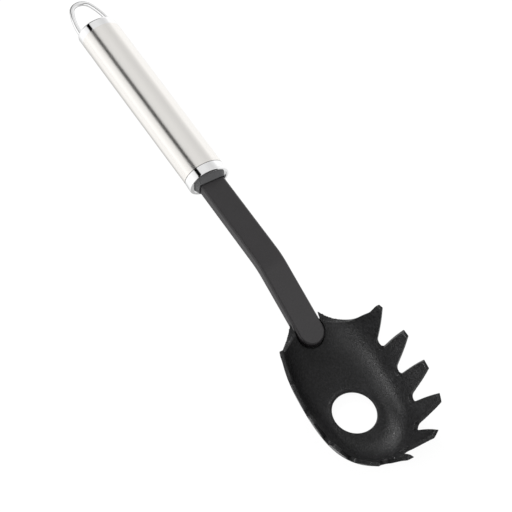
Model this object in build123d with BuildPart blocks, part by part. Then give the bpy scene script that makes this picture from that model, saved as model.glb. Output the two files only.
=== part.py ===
# A pasta server: a black moulded head with eleven tines and a drain hole, a moulded neck that bends down
# to it, and an oval steel handle with a polished ring at each end and a wire loop to hang it by.
# It lies as on a table: the hanging end and the bowl both touch the surface, X runs from handle to head.

import math
import os

from build123d import *

# Oval handle
handle_width = 22.4
handle_height = 17.4
handle_wall = 0.7
handle_length = 116.8
handle_pitch = 4.23
edge_break = 0.15

# Polished ring at the mouth of the handle
mouth_band = 5.4
mouth_flare = 0.3
mouth_face = 1.6
mouth_recess = 0.5
mouth_lip = 1.2
mouth_round = 0.55
spigot_wall = 1.0
spigot_length = 8.0

# Polished cap at the hanging end
cap_band = 5.6
cap_face = 1.8
cap_round = 1.5
cap_spigot_length = 5.0

# Wire loop
wire_diameter = 2.6
loop_width = 20.6
loop_reach = 21.2
loop_crown_radius = 6.2
leg_depth = 18.0

# Plug inside the hanging end
anchor_length = 13.0

# Collar round the neck
collar_width = 17.5
collar_height = 11.8
collar_corner = 4.4
collar_reach = 2.2
collar_margin = 0.7
collar_plug = 3.0
collar_plug_step = 0.9
collar_front_corner = 2.0

# Moulded core that grips the tang
core_length = 46.0

# Neck
neck_upper = 57.3
neck_lower = 48.3
neck_pitch = -12.57
neck_mouth_width = 13.6
neck_tip_width = 14.2
neck_mouth_height = 6.2
neck_bend_height = 6.2
neck_tip_height = 5.1
neck_rise = 2.6
neck_bend_radius = 38.0
neck_bevel = 0.9
neck_round = 1.1
tang_width = 10.0
tang_height = 4.6
tang_length = 44.0
tang_round = 0.8

# Head, set out from the middle of the hole in its floor
head_pitch = -7.17
head_back = 37.0
head_drop = 6.0
bowl_depth = 10.5
bowl_front = 29.9
bowl_rear = 53.9
bowl_half_width = 24.3
floor_radius = 12.6
floor_tilt = 4.4
hole_radius = 11.2
hole_round = 0.5
head_wall = 2.2
wall_lean = 68.0
front_fullness = 3.3

# Tines
tine_height = 17.4
tine_flare = 6.9
tine_rear_flare = 4.1
notch_radius = 2.3
tine_tip_round = 0.7
notch_rise = 10.2
notch_bow = 0.3
notch_reach = 24.0

# Seat of the neck in the head
seat_gap = 0.6
seat_wall = 1.2
seat_skin = 1.8
seat_length = 11.4

# Fits
fit_gap = 0.25
overrun = 2.0

# Where the tips of the tines and the roots of the notches between them lie, as shares: first of the
# bowl's length back from its front, then of its half width out from its middle line. The widths of
# the tips are in the same order, from the tine in the middle of the front to the rear one.
tine_tip_shares = [(0.0, 0.0), (0.037, 0.551), (0.193, 0.929), (0.375, 1.006), (0.557, 0.97), (0.74, 0.867)]
tine_tip_widths = [2.0, 4.4, 3.8, 4.1, 3.5, 4.2]
notch_root_shares = [(-0.009, 0.226), (0.086, 0.753), (0.248, 0.967), (0.42, 0.979), (0.605, 0.973)]

# Rear rim beside the neck, as shares: first of the room behind the rear tine, then of the tines' rise
rear_rim_shares = [
    (1.0, 0.38),
    (0.655, 0.286),
    (0.525, 0.242),
    (0.39, 0.222),
    (0.27, 0.254),
    (0.185, 0.321),
    (0.108, 0.462),
    (0.055, 0.638),
    (0.0, 0.86),
]

# Turns round the bowl's outline, from its front at 0 to its rear at 180 degrees
outline_turns = [0, 14, 30, 46, 62, 76, 90, 105, 120, 135, 150, 165, 180]

# Levels of the bowl's curve as shares of its wall's lean, the tines' levels as shares of their height,
# and the levels at which a notch is drawn, as shares of its height above its round root
floor_lean_shares = [0, 0.25, 0.5, 0.75, 1]
tine_level_shares = [0.5, 1.0, 1.12]
notch_level_shares = [0, 0.5, 1.0, 1.2]

# A face whose outward direction has more than this share of up is a top face
up_share = 0.5


def way(pitch):
    """Direction along the tool at a pitch in degrees, up being positive."""
    return Vector(math.cos(math.radians(pitch)), 0, math.sin(math.radians(pitch)))


def square_plane(spot, pitch):
    """Plane square to a run of the tool: its X is across the tool and its Y is up."""
    return Plane(origin=spot, x_dir=Vector(0, 1, 0), z_dir=way(pitch))


def flat_plane(spot, pitch):
    """Plane that lies along a run of the tool: its X is ahead and its Z is up."""
    return Plane(origin=spot, x_dir=way(pitch), z_dir=way(pitch + 90))


def side_plane(spot, pitch):
    """Plane seen from the tool's right side: its X is ahead and its Y is up."""
    return Plane(origin=spot, x_dir=way(pitch), z_dir=Vector(0, -1, 0))


def handle_plane(ahead):
    """Plane square to the handle, so far ahead of its mouth."""
    return square_plane(way(handle_pitch) * ahead, handle_pitch)


# Steel tube
half_width = handle_width / 2
half_height = handle_height / 2
bore_half_width = half_width - handle_wall
bore_half_height = half_height - handle_wall
tube_length = handle_length - mouth_band - cap_band

with BuildPart() as handle_tube:
    with BuildSketch(handle_plane(-mouth_band - tube_length)):
        Ellipse(half_width, half_height)
        Ellipse(bore_half_width, bore_half_height, mode=Mode.SUBTRACT)
    extrude(amount=tube_length)
    tube_rims = handle_tube.edges().filter_by(GeomType.ELLIPSE).sort_by(SortBy.LENGTH)[-2:]
    chamfer(tube_rims, edge_break)

# Polished mouth ring, with a spigot that plugs into the tube
spigot_half_width = bore_half_width - fit_gap
spigot_half_height = bore_half_height - fit_gap
hollow_half_width = spigot_half_width - spigot_wall
hollow_half_height = spigot_half_height - spigot_wall

with BuildPart() as mouth_ferrule:
    with BuildSketch(handle_plane(-mouth_band)):
        Ellipse(half_width, half_height)
    with BuildSketch(handle_plane(0)):
        Ellipse(half_width + mouth_flare, half_height + mouth_flare)
    loft()
    ring_rims = mouth_ferrule.edges().filter_by(GeomType.ELLIPSE)
    fillet(ring_rims.sort_by(Axis(handle_plane(0).origin, way(handle_pitch)))[-1], mouth_round)
    chamfer(mouth_ferrule.edges().filter_by(GeomType.ELLIPSE).sort_by(
        Axis(handle_plane(0).origin, way(handle_pitch)))[0], edge_break)
    with BuildSketch(handle_plane(0)):
        Ellipse(half_width - mouth_lip, half_height - mouth_lip)
    extrude(amount=-mouth_recess, mode=Mode.SUBTRACT)
    with BuildSketch(handle_plane(-mouth_band - spigot_length)):
        Ellipse(spigot_half_width, spigot_half_height)
    extrude(amount=spigot_length)
    with BuildSketch(handle_plane(-mouth_band - spigot_length)):
        Ellipse(hollow_half_width, hollow_half_height)
    extrude(amount=spigot_length + mouth_band - mouth_recess - mouth_face, mode=Mode.SUBTRACT)
    with BuildSketch(handle_plane(0)):
        RectangleRounded(
            collar_width - 2 * collar_plug_step, collar_height - 2 * collar_plug_step, collar_corner - collar_plug_step
        )
    extrude(amount=-mouth_recess - mouth_face - overrun, mode=Mode.SUBTRACT)

# Neck, drawn from the side and trimmed to its plan
neck_offset = neck_rise - neck_mouth_height / 2
mouth_top = handle_plane(0).from_local_coords((0, neck_rise, 0))
bend_top = mouth_top + way(handle_pitch) * neck_upper
tip_top = bend_top + way(neck_pitch) * neck_lower
mouth_under = mouth_top - way(handle_pitch + 90) * neck_mouth_height
bend_under = bend_top - way((handle_pitch + neck_pitch) / 2 + 90) * neck_bend_height
tip_under = tip_top - way(neck_pitch + 90) * neck_tip_height
neck_plane = flat_plane(tip_top, neck_pitch)
neck_reach = neck_lower + neck_upper


def neck_plan(plane, length, grow):
    """Plan of the neck's last length, grown by a gap all round: it tapers a little and has a round tip."""
    half_tip = neck_tip_width / 2
    half_back = half_tip - (neck_tip_width - neck_mouth_width) / 2 * length / neck_reach
    with BuildSketch(plane) as plan:
        with BuildLine():
            Polyline(
                (-half_tip, half_tip + grow),
                (-length, half_back + grow),
                (-length, -half_back - grow),
                (-half_tip, -half_tip - grow),
            )
            ThreePointArc((-half_tip, -half_tip - grow), (grow, 0), (-half_tip, half_tip + grow))
        make_face()
    return plan.sketch


with BuildPart() as neck_shaft:
    with BuildSketch(Plane.XZ):
        with BuildLine():
            top_line = FilletPolyline(
                (mouth_top.X, mouth_top.Z), (bend_top.X, bend_top.Z), (tip_top.X, tip_top.Z), radius=neck_bend_radius
            )
            under_line = FilletPolyline(
                (mouth_under.X, mouth_under.Z),
                (bend_under.X, bend_under.Z),
                (tip_under.X, tip_under.Z),
                radius=neck_bend_radius,
            )
            Line(top_line @ 0, under_line @ 0)
            Line(top_line @ 1, under_line @ 1)
        make_face()
    extrude(amount=neck_tip_width, both=True)
    extrude(neck_plan(neck_plane, neck_reach, 0), amount=neck_reach, both=True, mode=Mode.INTERSECT)
    top_faces = neck_shaft.faces().filter_by(lambda face: face.normal_at().Z > up_share)
    under_faces = neck_shaft.faces().filter_by(lambda face: face.normal_at().Z < -up_share)
    chamfer(top_faces.edges().filter_by(Axis.Y, reverse=True), neck_bevel)
    fillet(under_faces.edges().filter_by(Axis.Y, reverse=True), neck_round)
    with BuildSketch(handle_plane(0)):
        with Locations((0, neck_offset)):
            RectangleRounded(tang_width, tang_height, tang_round)
    extrude(amount=-tang_length)

# Collar
with BuildPart() as mouth_collar:
    with BuildSketch(handle_plane(-mouth_recess)):
        RectangleRounded(collar_width, collar_height, collar_corner)
    with BuildSketch(handle_plane(collar_reach)):
        with Locations((0, neck_offset)):
            RectangleRounded(
                neck_mouth_width + 2 * collar_margin, neck_mouth_height + 2 * collar_margin, collar_front_corner
            )
    loft()
    with BuildSketch(handle_plane(-mouth_recess)):
        RectangleRounded(
            collar_width - 2 * (collar_plug_step + fit_gap),
            collar_height - 2 * (collar_plug_step + fit_gap),
            collar_corner - collar_plug_step,
        )
    extrude(amount=-collar_plug)
    with BuildSketch(handle_plane(0)):
        with Locations((0, neck_offset)):
            Rectangle(neck_mouth_width + 2 * fit_gap, neck_mouth_height + 2 * fit_gap)
    extrude(amount=collar_reach + overrun, mode=Mode.SUBTRACT)
    with BuildSketch(handle_plane(0)):
        with Locations((0, neck_offset)):
            Rectangle(tang_width + 2 * fit_gap, tang_height + 2 * fit_gap)
    extrude(amount=-mouth_recess - collar_plug - overrun, mode=Mode.SUBTRACT)

# Core in the tube, its nose inside the mouth ring
core_front = -mouth_band - spigot_length - fit_gap
nose_front = -mouth_recess - collar_plug - fit_gap
with BuildPart() as handle_core:
    with BuildSketch(handle_plane(core_front)):
        Ellipse(bore_half_width - fit_gap, bore_half_height - fit_gap)
    extrude(amount=-core_length)
    with BuildSketch(handle_plane(core_front)):
        Ellipse(hollow_half_width - fit_gap, hollow_half_height - fit_gap)
    extrude(amount=nose_front - core_front)
    with BuildSketch(handle_plane(nose_front)):
        with Locations((0, neck_offset)):
            Rectangle(tang_width + 2 * fit_gap, tang_height + 2 * fit_gap)
    extrude(amount=-tang_length - nose_front - fit_gap, mode=Mode.SUBTRACT)

# Polished cap at the hanging end, with a hole for each leg of the wire
wire_radius = wire_diameter / 2
leg_offset = loop_width / 2 - wire_radius
with BuildPart() as end_cap:
    with BuildSketch(handle_plane(-handle_length)):
        Ellipse(half_width, half_height)
    extrude(amount=cap_band)
    cap_rims = end_cap.edges().filter_by(GeomType.ELLIPSE).sort_by(Axis(handle_plane(0).origin, way(handle_pitch)))
    fillet(cap_rims[0], cap_round)
    chamfer(cap_rims[-1], edge_break)
    with BuildSketch(handle_plane(-handle_length + cap_band)):
        Ellipse(spigot_half_width, spigot_half_height)
    extrude(amount=cap_spigot_length)
    with BuildSketch(handle_plane(-handle_length + cap_face)):
        Ellipse(hollow_half_width, hollow_half_height)
    extrude(amount=cap_band - cap_face + cap_spigot_length, mode=Mode.SUBTRACT)
    with BuildSketch(handle_plane(-handle_length)):
        with Locations((-leg_offset, 0), (leg_offset, 0)):
            Circle(wire_radius + fit_gap)
    extrude(amount=cap_band + cap_spigot_length, mode=Mode.SUBTRACT)

# Plug that holds the legs against the tube
with BuildPart() as loop_anchor:
    with BuildSketch(handle_plane(-handle_length + cap_band + cap_spigot_length + fit_gap)):
        Ellipse(bore_half_width - fit_gap, bore_half_height - fit_gap)
        with Locations((-leg_offset, 0), (leg_offset, 0)):
            Circle(wire_radius + fit_gap, mode=Mode.SUBTRACT)
    extrude(amount=anchor_length)

# Wire loop: two straight legs and a three-arc crown
loop_plane = flat_plane(way(handle_pitch) * -handle_length, handle_pitch)
crown_reach = loop_reach - wire_radius
crown_centre = crown_reach - loop_crown_radius
side_radius = (crown_centre**2 + leg_offset**2 - loop_crown_radius**2) / (2 * (leg_offset - loop_crown_radius))
side_centre = Vector(0, leg_offset - side_radius)
crown_middle = Vector(-crown_centre, 0)
join_way = (crown_middle - side_centre).normalized()
join_spot = crown_middle + join_way * loop_crown_radius
side_spot = side_centre + (join_way + Vector(0, 1)).normalized() * side_radius
with BuildPart() as hanging_loop:
    with BuildLine(loop_plane) as wire_line:
        Line((leg_depth, leg_offset), (0, leg_offset))
        ThreePointArc((0, leg_offset), (side_spot.X, side_spot.Y), (join_spot.X, join_spot.Y))
        ThreePointArc((join_spot.X, join_spot.Y), (-crown_reach, 0), (join_spot.X, -join_spot.Y))
        ThreePointArc((join_spot.X, -join_spot.Y), (side_spot.X, -side_spot.Y), (0, -leg_offset))
        Line((0, -leg_offset), (leg_depth, -leg_offset))
    with BuildSketch(Plane(origin=loop_plane.from_local_coords((leg_depth, leg_offset, 0)), z_dir=way(handle_pitch))):
        Circle(wire_radius)
    sweep(path=wire_line.wires()[0])

# Head
head_spot = tip_top + way(head_pitch) * head_back - way(head_pitch + 90) * head_drop
head_plane = flat_plane(head_spot, head_pitch)


def outline_spot(turn):
    """Unit outline of the bowl at a turn in degrees: 1 at its front, -1 at its rear, and its share out."""
    ahead = math.cos(math.radians(turn))
    out = abs(math.sin(math.radians(turn)))
    return (ahead ** (2 / front_fullness) if ahead > 0 else ahead), out


def level_face(rise, front, rear, out, tilt):
    """Face of the bowl at one level, drawn from its rear so that its seam is under the neck."""
    middle = (front - rear) / 2
    reach = (front + rear) / 2
    spots = [outline_spot(turn) for turn in outline_turns]
    right = [(middle + reach * ahead, -out * aside) for ahead, aside in reversed(spots)]
    left = [(middle + reach * ahead, out * aside) for ahead, aside in spots[1:-1]]
    with BuildSketch(flat_plane(head_plane.from_local_coords((0, 0, rise)), head_pitch + tilt)) as face:
        with BuildLine():
            Spline(*right, *left, periodic=True)
        make_face()
    return face.sketch


def bowl_skin(wall):
    """Faces of the bowl's levels from its floor to above its tines, a wall out from the inside."""
    faces = []
    for lean_share in floor_lean_shares:
        turn = math.radians(wall_lean * lean_share)
        grown = math.sin(turn) / math.sin(math.radians(wall_lean))
        risen = (1 - math.cos(turn)) / (1 - math.cos(math.radians(wall_lean)))
        faces.append(
            level_face(
                risen * bowl_depth - wall * math.cos(turn),
                floor_radius + grown * (bowl_front - floor_radius) + wall * math.sin(turn),
                floor_radius + grown * (bowl_rear - floor_radius) + wall * math.sin(turn),
                floor_radius + grown * (bowl_half_width - floor_radius) + wall * math.sin(turn),
                floor_tilt * (1 - grown),
            )
        )
    lean_out = wall * math.sin(math.radians(wall_lean))
    for risen in tine_level_shares:
        faces.append(
            level_face(
                bowl_depth + risen * tine_height,
                bowl_front + risen * tine_flare + lean_out,
                bowl_rear + risen * tine_rear_flare + lean_out,
                bowl_half_width + risen * tine_flare + lean_out,
                0,
            )
        )
    return faces


def head_level(rise, tilt):
    """Plane of the head at a rise above the floor at the hole, tilted up to the front."""
    return flat_plane(head_plane.from_local_coords((0, 0, rise)), head_pitch + tilt)


def outline_place(shares, front, rear, out):
    """Place in the head's plan of a point that is given in shares of a level's size."""
    back, aside = shares
    return Vector(front - back * (front + rear), aside * out)


def tip_place(shares):
    """Place in the head's plan of the tip of a tine."""
    return outline_place(
        shares, bowl_front + tine_flare, bowl_rear + tine_rear_flare, bowl_half_width + tine_flare
    )


def notch_outline(gap_width):
    """Right side of a notch's outline, from its round root up past the tips of its tines."""
    rise = bowl_depth + tine_height - notch_rise - notch_radius
    widening = gap_width / 2 - notch_radius
    root_turn = math.radians(45)
    spots = [(notch_radius * math.sin(root_turn), notch_radius * (1 - math.cos(root_turn)))]
    for share in notch_level_shares:
        grown = share * (1 - notch_bow + notch_bow * share)
        spots.append((notch_radius + widening * grown, notch_radius + rise * share))
    return spots


def cut_notch(root, gap, gap_width, side):
    """Cut one notch between two tines, drawn square to the way out of the bowl."""
    out = (gap - root).normalized()
    ahead = head_plane.x_dir * out.X + head_plane.y_dir * out.Y * side
    root_plane = Plane(
        origin=head_plane.from_local_coords((root.X, root.Y * side, notch_rise)),
        x_dir=head_plane.z_dir.cross(ahead),
        z_dir=ahead,
    )
    right = notch_outline(gap_width)
    left = [(-aside, rise) for aside, rise in reversed(right)]
    with BuildSketch(root_plane) as notch_face:
        with BuildLine():
            Spline(*left, (0, 0), *right)
            Line(right[-1], left[0])
        make_face()
    extrude(notch_face.sketch, amount=notch_reach, mode=Mode.SUBTRACT)
    extrude(notch_face.sketch, amount=-head_wall - overrun, mode=Mode.SUBTRACT)


under_way = (tip_under - bend_under).normalized()
seat_plane = flat_plane(tip_under, math.degrees(math.atan2(under_way.Z, under_way.X)))
rear_tine_back = tip_place(tine_tip_shares[-1]).X - tine_tip_widths[-1] / 2
rim_end = -bowl_rear - tine_rear_flare - head_wall - overrun
tip_rise = bowl_depth + tine_height
rim_top = tip_rise + overrun
tip_level = head_level(tip_rise, 0)
rear_rim = [
    Vector(rear_tine_back - back * (rear_tine_back - rim_end), rise * tip_rise) for back, rise in rear_rim_shares
]

with BuildPart() as server_head:
    loft(bowl_skin(head_wall))
    extrude(
        neck_plan(seat_plane.offset(-seat_skin), seat_length, seat_gap + seat_wall), amount=seat_skin + neck_tip_height
    )
    loft(bowl_skin(0), mode=Mode.SUBTRACT)
    extrude(neck_plan(seat_plane, neck_reach, seat_gap), amount=bowl_depth, mode=Mode.SUBTRACT)
    with BuildSketch(head_level(0, floor_tilt)):
        Circle(hole_radius)
    extrude(amount=head_wall + overrun, both=True, mode=Mode.SUBTRACT)
    hole_rims = server_head.edges().filter_by(GeomType.CIRCLE)
    fillet(hole_rims.filter_by(lambda edge: math.isclose(edge.radius, hole_radius)), hole_round)
    split(bisect_by=tip_level, keep=Keep.BOTTOM)
    tips = [tip_place(shares) for shares in tine_tip_shares]
    for count, root_shares in enumerate(notch_root_shares):
        root = outline_place(root_shares, bowl_front, bowl_rear, bowl_half_width)
        across = (tips[count + 1] - tips[count]).normalized()
        near = tips[count] + across * tine_tip_widths[count] / 2
        far = tips[count + 1] - across * tine_tip_widths[count + 1] / 2
        for side in (1, -1):
            cut_notch(root, (near + far) / 2, (far - near).length, side)
    with BuildSketch(side_plane(head_spot, head_pitch)):
        with BuildLine():
            Spline(*rear_rim, tangents=[rear_rim[1] - rear_rim[0], Vector(0, 1)])
            Polyline(rear_rim[-1], (rear_tine_back, rim_top), (rim_end, rim_top), rear_rim[0])
        make_face()
    extrude(amount=bowl_half_width + tine_flare + overrun, both=True, mode=Mode.SUBTRACT)
    tip_tops = server_head.faces().filter_by(lambda face: tip_level.contains(face.center()))
    fillet(tip_tops.edges(), tine_tip_round)

os.makedirs("parts", exist_ok=True)
pieces = {
    "handle_tube": handle_tube,
    "mouth_ferrule": mouth_ferrule,
    "mouth_collar": mouth_collar,
    "handle_core": handle_core,
    "end_cap": end_cap,
    "loop_anchor": loop_anchor,
    "hanging_loop": hanging_loop,
    "neck_shaft": neck_shaft,
    "server_head": server_head,
}
boxes = [piece.part.bounding_box() for piece in pieces.values()]
low = Vector(*(min(tuple(box.min)[side] for box in boxes) for side in range(3)))
high = Vector(*(max(tuple(box.max)[side] for box in boxes) for side in range(3)))
place = Location((-(low.X + high.X) / 2, -(low.Y + high.Y) / 2, -low.Z))
for name, piece in pieces.items():
    piece.part.move(place)
    piece.part.label = name
    export_step(piece.part, f"parts/{name}.step")
print("size", high - low, "mouth of the handle at", place.position)
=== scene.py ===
# %% [markdown] # A pasta server This lesson dresses the packed solids of a pasta server: a black moulded
# head with tines, a dark grey moulded neck, and an oval steel handle with polished ends and a wire loop. So
# most steps here make a finish, and only the two moulded pieces that show get a mesh of their own, because
# moulded edges are never crisp.

import math

import bmesh
import bpy
from mathutils import Euler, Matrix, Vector


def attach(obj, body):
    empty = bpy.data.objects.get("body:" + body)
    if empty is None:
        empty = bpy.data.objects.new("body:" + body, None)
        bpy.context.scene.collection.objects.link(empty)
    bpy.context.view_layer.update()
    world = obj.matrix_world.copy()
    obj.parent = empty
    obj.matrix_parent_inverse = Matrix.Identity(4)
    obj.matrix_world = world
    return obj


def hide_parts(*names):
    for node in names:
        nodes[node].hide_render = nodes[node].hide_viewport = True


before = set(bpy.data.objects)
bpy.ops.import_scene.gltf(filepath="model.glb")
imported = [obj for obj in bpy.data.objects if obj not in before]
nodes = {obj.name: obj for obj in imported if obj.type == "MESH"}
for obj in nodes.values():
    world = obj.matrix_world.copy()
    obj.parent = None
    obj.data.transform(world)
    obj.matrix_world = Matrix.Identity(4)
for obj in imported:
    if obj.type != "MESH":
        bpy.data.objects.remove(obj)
pieces = dict(nodes)
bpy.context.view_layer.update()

# %% [markdown]
# ## A socket that does sums
# A finish is a few patterns mixed by sums. Each sum could be wired by hand as a Math node, but then the
# reader sees wires and not the sum. This class wraps a node's socket and turns Python's own signs into Math
# nodes, also where a plain number comes first. Sums of plain numbers alone stay with Python.

# %% The socket class
class Value:
    """A socket of a node tree that can be added, scaled and mixed like a number."""

    def __init__(self, tree, socket):
        self.tree = tree
        self.socket = socket

    def feed(self, socket):
        """Link this value into another node's socket."""
        self.tree.links.new(self.socket, socket)

    def beside(self, output):
        """Another output of the node that this value comes from."""
        return Value(self.tree, self.socket.node.outputs[output])

    def operate(self, operation, *others):
        """Put this value and others through a Math node."""
        node = self.tree.nodes.new("ShaderNodeMath")
        node.operation = operation
        for slot, value in enumerate((self, *others)):
            if isinstance(value, Value):
                value.feed(node.inputs[slot])
            else:
                node.inputs[slot].default_value = value
        return Value(self.tree, node.outputs[0])

    def __add__(self, other):
        return self.operate("ADD", other)

    def __sub__(self, other):
        return self.operate("SUBTRACT", other)

    def __rsub__(self, other):
        return (self * -1).operate("ADD", other)

    def __mul__(self, other):
        return self.operate("MULTIPLY", other)

    def __truediv__(self, other):
        return self.operate("DIVIDE", other)

    __radd__ = __add__
    __rmul__ = __mul__


print("sums of sockets:", [name for name in vars(Value) if name.startswith("__r")])

# %% [markdown]
# ## A node tree with short names
# Materials, the table and the world are all node trees. One method adds any node: its settings first, then
# the numbers or links of its sockets. A few more methods name what the finishes use again and again. The
# patterns read Object coordinates, so their grain has a real size in metres and stays with the piece. UV
# maps would need unwrapping, and a fine moulded or ground grain has no seams to follow.

# %% The node tree class
class Tree:
    """A node tree and short ways to add nodes to it."""

    def __init__(self, owner):
        owner.use_nodes = True
        self.tree = owner.node_tree
        self.tree.nodes.clear()

    def node(self, kind, output, settings=None, **sockets):
        """Add a node and hand back one of its outputs."""
        node = self.tree.nodes.new(kind)
        for name, value in (settings or {}).items():
            setattr(node, name, value)
        for name, value in sockets.items():
            socket = node.inputs[name.replace("_", " ")]
            if isinstance(value, Value):
                value.feed(socket)
            else:
                socket.default_value = value
        return Value(self.tree, node.outputs[output])

    def place(self, scale=(1, 1, 1), pitch=0):
        """Object coordinates, pitched by degrees and then stretched to the size of a pattern."""
        spot = self.node("ShaderNodeTexCoord", "Object")
        level = self.node("ShaderNodeMapping", "Vector", Vector=spot, Rotation=(0, math.radians(pitch), 0))
        return self.node("ShaderNodeMapping", "Vector", Vector=level, Scale=scale)

    def noise(self, place, scale, detail=2.0, roughness=0.5):
        """A cloudy pattern with so many lumps to the metre."""
        return self.node(
            "ShaderNodeTexNoise", "Fac", Vector=place, Scale=scale, Detail=detail, Roughness=roughness
        )

    def step(self, value, low, high):
        """0 below low and 1 above high, with a soft step between them."""
        return self.node(
            "ShaderNodeMapRange", "Result", {"interpolation_type": "SMOOTHSTEP"},
            Value=value, From_Min=low, From_Max=high,
        )

    def ray(self, kind):
        """1 for one kind of light ray, such as Camera or Glossy, and 0 for the others."""
        return self.node("ShaderNodeLightPath", f"Is {kind} Ray")

    def colour(self, amount, low, high):
        """Mix two colours by an amount."""
        mix = self.tree.nodes.new("ShaderNodeMix")
        mix.data_type = "RGBA"
        amount.feed(mix.inputs["Factor"])
        for slot, value in ((6, low), (7, high)):
            if isinstance(value, Value):
                value.feed(mix.inputs[slot])
            else:
                mix.inputs[slot].default_value = (*value, 1)
        return Value(self.tree, mix.outputs[2])

    def blend(self, amount, first, second):
        """Mix two shaders by an amount."""
        mixed = self.node("ShaderNodeMixShader", "Shader", Fac=amount)
        for slot, shader in ((1, first), (2, second)):
            shader.feed(mixed.socket.node.inputs[slot])
        return mixed

    def ends(self, kind, surface):
        """Link a shader to the tree's output."""
        end = self.tree.nodes.new(kind)
        surface.feed(end.inputs["Surface"])


print("tree methods:", [name for name in vars(Tree) if not name.startswith("_")])

# %% [markdown]
# ## A finish
# Every finish here is one Principled shader, which is what steel and nylon need and what other programs
# read. What is the same all over a piece, such as how metallic it is, is set on the shader's own socket.
# Only colour, roughness and the normal get a pattern.

# %% The finish class
class Finish(Tree):
    """A material with one Principled shader."""

    def __init__(self, name, **settings):
        self.material = bpy.data.materials.new(name)
        super().__init__(self.material)
        surface = self.node("ShaderNodeBsdfPrincipled", "BSDF", **settings)
        self.shader = surface.socket.node
        self.ends("ShaderNodeOutputMaterial", surface)

    def set(self, socket, value):
        """Feed one of the shader's sockets with a pattern."""
        value.feed(self.shader.inputs[socket])

    def bump(self, height, strength, distance):
        """Dent the surface by a pattern: the distance is how deep the pattern is, in metres."""
        self.set("Normal", self.node(
            "ShaderNodeBump", "Normal", Height=height, Strength=strength, Distance=distance
        ))

    def on(self, *names):
        """Give pieces this finish."""
        for name in names:
            pieces[name].data.materials.clear()
            pieces[name].data.materials.append(self.material)
        print(self.material.name, "on", names)


print("finish methods:", [name for name in vars(Finish) if not name.startswith("_")])

# %% [markdown]
# ## Working on a copy of a solid
# A solid comes as loose triangles and is never changed itself. A copy is merged first, so that its faces
# hold together. Two small helpers do what every change to the copy needs: one makes the merged copy, and
# one adds a modifier, keeps the mesh that it makes and takes the modifier off again.

# %% Helpers for a copy
MERGE_DISTANCE = 0.000001


def merged_copy(name):
    """A new object with a copy of a solid's mesh, its loose triangles joined."""
    mesh = nodes[name].data.copy()
    shape = bmesh.new()
    shape.from_mesh(mesh)
    bmesh.ops.remove_doubles(shape, verts=shape.verts, dist=MERGE_DISTANCE)
    shape.to_mesh(mesh)
    shape.free()
    piece = bpy.data.objects.new(name + "_soft", mesh)
    bpy.context.scene.collection.objects.link(piece)
    print(piece.name, "merged to", len(mesh.vertices), "vertices")
    return piece


def carry_out(piece, kind, **settings):
    """Add a modifier with some settings, keep the mesh that it makes and take it off again."""
    modifier = piece.modifiers.new(kind.lower(), kind)
    for name, value in settings.items():
        setattr(modifier, name, value)
    made = piece.evaluated_get(bpy.context.evaluated_depsgraph_get())
    piece.data = bpy.data.meshes.new_from_object(made)
    piece.modifiers.clear()
    print(piece.name, kind.lower(), "left", len(piece.data.polygons), "faces")


# %% [markdown]
# ## Soft edges for the moulded pieces
# Nylon comes out of its mould with every edge a little round, and those edges catch thin lines of light.
# The solids of the head and the neck have crisp edges. A Bevel modifier is the usual cure, but it tangles
# on the long thin triangles of a solid's mesh. So a voxel remesh first gives the copy an even skin of small
# faces. Plain smoothing would round that skin but also shrink it, and the tines would lose their tips. Every
# pass in is therefore followed by a slightly longer pass out, which keeps the form's size. The skin has to
# be finer than the bowl's thin rim, and a Decimate modifier then merges what lies flat.

# %% A helper that softens a solid
PASS_IN = 0.5
PASS_OUT = -0.52
MOST_TRIANGLES = 180000


def smooth_skin(mesh, passes):
    """Round a mesh's edges by passes in and out, and shade it smooth."""
    shape = bmesh.new()
    shape.from_mesh(mesh)
    for factor in (PASS_IN, PASS_OUT) * passes:
        bmesh.ops.smooth_vert(
            shape, verts=shape.verts, factor=factor, use_axis_x=True, use_axis_y=True, use_axis_z=True
        )
    for face in shape.faces:
        face.smooth = True
    shape.to_mesh(mesh)
    shape.free()
    mesh.update()


def soften(name, voxel, passes):
    """Replace a solid by a copy with an even skin and rounded edges."""
    piece = merged_copy(name)
    carry_out(piece, "REMESH", mode="VOXEL", voxel_size=voxel)
    smooth_skin(piece.data, passes)
    triangles = 2 * len(piece.data.polygons)
    if triangles > MOST_TRIANGLES:
        carry_out(piece, "DECIMATE", ratio=MOST_TRIANGLES / triangles)
    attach(piece, "root")
    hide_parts(name)
    return piece


# %% Soften the head and the neck
HEAD_VOXEL, HEAD_PASSES = 0.0002, 12
NECK_VOXEL, NECK_PASSES = 0.00032, 8
pieces["server_head"] = soften("server_head", HEAD_VOXEL, HEAD_PASSES)
pieces["neck_shaft"] = soften("neck_shaft", NECK_VOXEL, NECK_PASSES)

# %% [markdown]
# ## Where the tube ends
# Close to the mouth of the handle, the satin tube meets the polished ring in a thin dark line, the shade
# that falls into the gap of the joint. A groove could be cut for it, but it is finer than a hair, so it is
# painted shade in the colour. The line lies at one place along the handle's own way, which climbs a few
# degrees.

# %% The handle's own way
HANDLE_PITCH = 4.23
HANDLE_MOUTH = Vector((-0.0219928, 0, 0.017185))
MOUTH_BAND = 0.0054
JOINT_SHADE_START, JOINT_SHADE_FULL = 0.0003, 0.0001
handle_way = Vector((math.cos(math.radians(HANDLE_PITCH)), 0, math.sin(math.radians(HANDLE_PITCH))))
TUBE_END = HANDLE_MOUTH.dot(handle_way) - MOUTH_BAND
print("tube ends", round(TUBE_END, 5), "along the handle")
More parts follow.
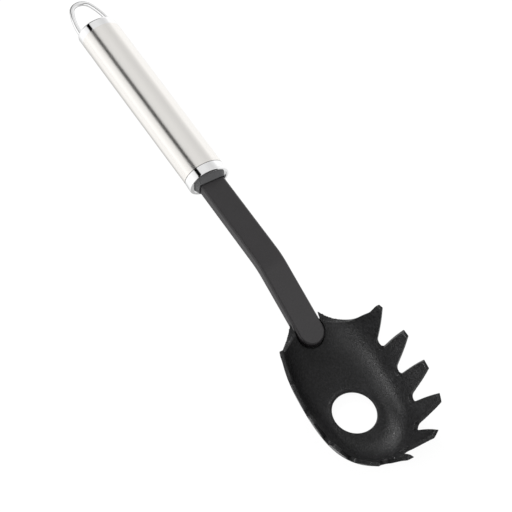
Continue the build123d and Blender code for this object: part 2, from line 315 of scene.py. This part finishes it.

# %% [markdown]
# ## Satin steel of the handle
# The tube is ground lengthwise, so its grain is long hair-thin scratches that run from the loop to the
# neck. An anisotropic shader could give the streaks of light without any scratches, but up close it looks
# too clean. Here noise, squeezed across the handle and stretched along it, makes the scratches, and they
# move the colour, the roughness and the surface a little. The finish is the same from end to end, except
# for a thin line of painted shade where the tube meets the mouth ring.

# %% Satin steel
LINES_PER_METRE = 2600
STRETCH = 0.012
satin = Finish("satin_steel", Metallic=1.0)
scratch = satin.noise(
    satin.place(scale=(STRETCH, 1, 1), pitch=HANDLE_PITCH), LINES_PER_METRE, detail=3, roughness=0.6
)
cloud = satin.noise(satin.place(scale=(0.3, 1, 1)), 45, detail=3)
run = satin.node("ShaderNodeSeparateXYZ", "X", Vector=satin.place(pitch=HANDLE_PITCH))
# Painted shade: a thin dark line in the tube's colour where it meets the mouth ring, standing in for the
# shade in the joint.
joint_shade = satin.step(run, TUBE_END - JOINT_SHADE_START, TUBE_END - JOINT_SHADE_FULL)
steel = satin.colour(0.6 * scratch + 0.4 * cloud, (0.87, 0.845, 0.81), (0.95, 0.93, 0.90))
satin.set("Base Color", satin.colour(joint_shade, steel, (0.16, 0.15, 0.14)))
satin.set("Roughness", 0.17 + 0.06 * scratch + 0.04 * cloud)
satin.bump(scratch, 0.10, 0.00002)
satin.on("handle_tube")

# %% [markdown]
# ## Polished steel of the rings and the wire
# The mouth ring, the end cap and the wire are buffed until they mirror what is around them. One flat
# roughness would do that too, but such a mirror looks false, because real steel is wiped and handled. So a
# faint cloud of wiped marks and a few fine hairlines move its roughness.

# %% Polished steel
polish = Finish("polished_steel", Metallic=1.0)
wipe = polish.noise(polish.place(), 160, detail=4)
hair = polish.noise(polish.place(scale=(1, 0.05, 1)), 2200, detail=2)
polish.set("Base Color", polish.colour(wipe, (0.92, 0.92, 0.92), (0.97, 0.97, 0.975)))
polish.set("Roughness", 0.05 + 0.05 * wipe + 0.03 * polish.step(hair, 0.55, 0.8))
polish.on("mouth_ferrule", "end_cap", "hanging_loop")

# %% [markdown]
# ## Moulded nylon of the neck
# The neck is dark grey and has a fine spark-eroded texture, finer than a grain of salt, that scatters the
# light into a soft sheen on its bevels. Real dents of that size would take millions of faces, so a bump
# makes them. A slower blotch keeps the long flat top from being one even tone.

# %% Neck
neck = Finish("neck_nylon", Specular_IOR_Level=0.5)
fine = neck.noise(neck.place(), 1300, detail=3, roughness=0.65)
blotch = neck.noise(neck.place(), 120, detail=3)
neck.set("Base Color", neck.colour(
    0.5 * fine + 0.5 * blotch, (0.009, 0.008, 0.009), (0.026, 0.023, 0.025)
))
neck.set("Roughness", 0.30 + 0.10 * fine + 0.06 * blotch)
neck.bump(fine, 0.6, 0.00012)
neck.on("neck_shaft")

# %% [markdown]
# ## Moulded nylon of the collar
# The collar closes the handle round the neck. It is smoother than the neck, and its colour is painted a
# shade lighter, a painted highlight for its bevelled face that looks up into the light. It could share the
# neck's finish, but then the two would run together, and the real tool shows where one stops and the other
# starts.

# %% Collar
collar = Finish("collar_nylon_painted_light", Specular_IOR_Level=0.5)
collar_fine = collar.noise(collar.place(), 2000, detail=2)
# Painted highlight: a base colour lighter than the neck's, standing in for the light on the bevelled face.
collar.set("Base Color", collar.colour(collar_fine, (0.060, 0.060, 0.062), (0.085, 0.085, 0.088)))
collar.set("Roughness", 0.28 + 0.14 * collar_fine)
collar.bump(collar_fine, 0.2, 0.00005)
collar.on("mouth_collar")

# %% [markdown]
# ## Grained nylon of the head
# The bowl is black with a coarser moulded grain, and each grain catches a spark of light, so the highlight
# on its floor is a soft patch of specks. One noise alone looks like fog. Here a soft step sharpens a noise
# into grains, a second, finer one gives the sparks, and a slow haze keeps the black from being one tone.

# %% Head
GRAINS_PER_METRE = 1100
SPECKS_PER_METRE = 1700
head = Finish("head_nylon", Specular_IOR_Level=0.20)
grain = head.step(head.noise(head.place(), GRAINS_PER_METRE, detail=3, roughness=0.7), 0.34, 0.66)
speck = head.step(head.noise(head.place(), SPECKS_PER_METRE, detail=1), 0.60, 0.72)
haze = head.noise(head.place(), 60, detail=3)
tone = 0.40 * grain + 0.25 * haze + 0.35 * speck
head.set("Base Color", head.colour(tone, (0.001, 0.001, 0.001), (0.020, 0.020, 0.021)))
head.set("Roughness", 0.34 + 0.10 * grain - 0.12 * speck)
head.bump(0.7 * grain + 0.3 * speck, 1.0, 0.00008)
head.on("server_head")

# %% [markdown]
# ## The hidden core and plug
# The core grips the neck inside the tube, and the plug holds the two legs of the wire. They never show, so
# a plain moulded finish with a faint grain is enough for them.

# %% Core and plug
core = Finish("core_nylon")
core_fine = core.noise(core.place(), 900)
core.set("Base Color", core.colour(core_fine, (0.02, 0.02, 0.02), (0.04, 0.04, 0.04)))
core.set("Roughness", 0.5 + 0.1 * core_fine)
core.on("handle_core", "loop_anchor")

# %% [markdown]
# ## The table's sheet
# The tool lies on a plain white table that fills the picture. One large flat face does for it, a hair
# below the tool so that the two never touch.

# %% The sheet
TABLE_REACH = 3.0
TABLE_DROP = 0.0006
sheet = bmesh.new()
bmesh.ops.create_grid(sheet, x_segments=1, y_segments=1, size=TABLE_REACH)
bmesh.ops.translate(sheet, vec=(0, 0, -TABLE_DROP), verts=sheet.verts)
table_mesh = bpy.data.meshes.new("table")
sheet.to_mesh(table_mesh)
sheet.free()
table = bpy.data.objects.new("table", table_mesh)
bpy.context.scene.collection.objects.link(table)
print("table lies", TABLE_DROP, "under the tool")

# %% [markdown]
# ## White to the eye
# More light on the table would make it white, and would burn out the tool as well. So the table only looks
# white to the camera and in the metal, with a glow that other light doesn't see, and a small share of
# plain paper keeps the tool's soft shadow. Close under the tool a real table is shaded, and the steel shows
# that as a thin grey line along its edges, so the glow is darker there in reflections.

# %% The table's finish
WHITE_SHARE = 0.93
SHADED_TO, OPEN_FROM = 0.006, 0.030
white_material = bpy.data.materials.new("white_table")
white = Tree(white_material)
paper = white.node("ShaderNodeBsdfDiffuse", "BSDF", Color=(0.88, 0.88, 0.88, 1))
aside = white.node("ShaderNodeSeparateXYZ", "Y", Vector=white.place())
open_table = white.step(aside.operate("ABSOLUTE"), SHADED_TO, OPEN_FROM)
straight = white.ray("Camera")
under = (1 - straight) * (1 - open_table)
glow = white.node("ShaderNodeEmission", "Emission", Color=white.colour(under, (1, 1, 1), (0.45, 0.45, 0.45)))
seen = straight.operate("MAXIMUM", white.ray("Glossy")).operate("MAXIMUM", white.ray("Transmission"))
white.ends("ShaderNodeOutputMaterial", white.blend(WHITE_SHARE * seen, paper, glow))
table.data.materials.append(white_material)
print("table is", WHITE_SHARE, "glow to the eye")

# %% [markdown]
# ## The room in the steel
# A curved mirror is drawn by what stands round it. Real walls and softboxes could be modelled for it, but
# they would also stand in the way of other views. So the world itself holds the studio, as bands of light
# by the angle round the tool's long axis: bright walls along both sides, a softer ceiling, and one narrow
# dark gap between the wall and the ceiling, which the handle shows as a dark line.

# %% The bands of the room
ROOM = [
    (-180, 1.10), (-104, 1.10), (-72, 1.06), (-62, 0.82), (-45, 0.70), (-30, 0.74), (-12, 0.81), (14, 0.81),
    (19, 0.74), (21, 0.0), (36.5, 0.0), (38.5, 0.74), (46, 0.90), (66, 1.05), (84, 1.20), (180, 1.20),
]
BRIGHTEST = 1.2
studio = bpy.data.worlds.new("studio")
bpy.context.scene.world = studio
room = Tree(studio)
side = room.node("ShaderNodeSeparateXYZ", "Y", Vector=room.node("ShaderNodeTexCoord", "Generated"))
turn = (side * -1).operate("ARCTAN2", side.beside("Z")) / math.tau + 0.5
bands = room.node("ShaderNodeValToRGB", "Color", Fac=turn)
stops = bands.socket.node.color_ramp.elements
for at, level in ROOM[1:-1]:
    stops.new(at / 360 + 0.5)
stops[0].position = 0
stops[-1].position = 1
for stop, (at, level) in zip(stops, ROOM):
    stop.color = (*[level / BRIGHTEST] * 3, 1)
print("room bands", len(stops))

# %% [markdown]
# ## The end wall, and plain light for the rest
# The end of the room behind the wire loop is dark too, for the marks on the wire. Only glossy rays see the
# bands. Diffuse light comes from everywhere at one plain strength, at which a colour renders about as it
# is written, and the camera itself sees white.

# %% The world
DARK_END = 0.12
END_WALL_FROM, END_WALL_TO = -0.90, -0.80
PLAIN = 0.90
open_end = room.step(side.beside("X"), END_WALL_FROM, END_WALL_TO)
walls = room.node(
    "ShaderNodeBackground", "Background", Color=bands, Strength=DARK_END + (BRIGHTEST - DARK_END) * open_end
)
plain = room.node(
    "ShaderNodeBackground", "Background",
    Color=(1, 1, 1, 1), Strength=PLAIN + (1 - PLAIN) * room.ray("Camera"),
)
room.ends("ShaderNodeOutputWorld", room.blend(room.ray("Glossy"), plain, walls))
print("plain light at", PLAIN)

# %% [markdown]
# ## Lamps for the black pieces
# Black nylon shows almost only the gloss of its lamps. In the steel those lamps would burn out, and lamps
# weak enough for the steel would leave the nylon flat. So each lamp lights a few moulded pieces and the
# table alone, through a collection of the objects that receive its light.

# %% A helper for lamps
AIM = Vector((0.1, 0, 0.02))


def lamp(name, towards, distance, length, width, power, *lit):
    """A flat lamp so far from the bowl in a direction, turned to it, that lights some pieces alone."""
    data = bpy.data.lights.new(name, "AREA")
    data.shape = "RECTANGLE"
    data.size = length
    data.size_y = width
    data.energy = power
    thing = bpy.data.objects.new(name, data)
    towards = Vector(towards).normalized()
    thing.location = AIM + towards * distance
    thing.rotation_euler = towards.to_track_quat("Z", "Y").to_euler()
    receivers = bpy.data.collections.new("lit_by_" + name)
    for piece in (table, *lit):
        receivers.objects.link(piece)
    thing.light_linking.receiver_collection = receivers
    bpy.context.scene.collection.objects.link(thing)
    print(name, "at", [round(part, 2) for part in thing.location])


# %% [markdown]
# ## Four lamps
# The key lamp stands low behind the hanging end and makes the patch of specks on the bowl's floor. A long
# strip above the tool's right side draws the sheen down the far wall of the bowl. A low lamp on the same
# side lights the tines' inner faces. A soft one overhead lifts the lower part of the neck and the collar.

# %% Lamps
bowl = pieces["server_head"]
moulded_neck = (pieces["neck_shaft"], pieces["mouth_collar"])
lamp("key", (-0.79, 0.04, 0.62), 1.3, 0.16, 0.16, 11, bowl)
lamp("strip", (0.25, -0.50, 0.83), 1.2, 0.8, 0.3, 4.5, bowl)
lamp("side", (-0.15, -0.90, 0.40), 1.2, 0.5, 0.5, 16, bowl)
lamp("overhead", (0.2, 0.38, 0.90), 1.2, 0.5, 0.5, 0.9, *moulded_neck)
bpy.context.scene.view_settings.view_transform = "Standard"

# %% [markdown]
# ## The camera
# The photo looks down on the tool from its right front side, from about a metre away. A camera could be
# placed by eye, but the handle and the tines would then never both fit. So its lens, spot and turn were
# fitted to the handle's edges, the hole and the tips of the tines. The lens is the fitted focal length in
# pixels, brought to the sensor's width.

# %% Camera
SENSOR_WIDTH = 36
FOCAL_PIXELS = 2066.7
FRAME_PIXELS = 512
CAMERA_TURN = (33.0567, -6.9988, 58.4986)
camera_data = bpy.data.cameras.new("camera")
camera_data.sensor_width = SENSOR_WIDTH
camera_data.lens = SENSOR_WIDTH * FOCAL_PIXELS / FRAME_PIXELS
camera = bpy.data.objects.new("camera", camera_data)
camera.location = (0.44649, -0.38161, 0.86470)
camera.rotation_euler = Euler([math.radians(angle) for angle in CAMERA_TURN], "XYZ")
bpy.context.scene.collection.objects.link(camera)
bpy.context.scene.camera = camera
print("lens", round(camera_data.lens, 1))
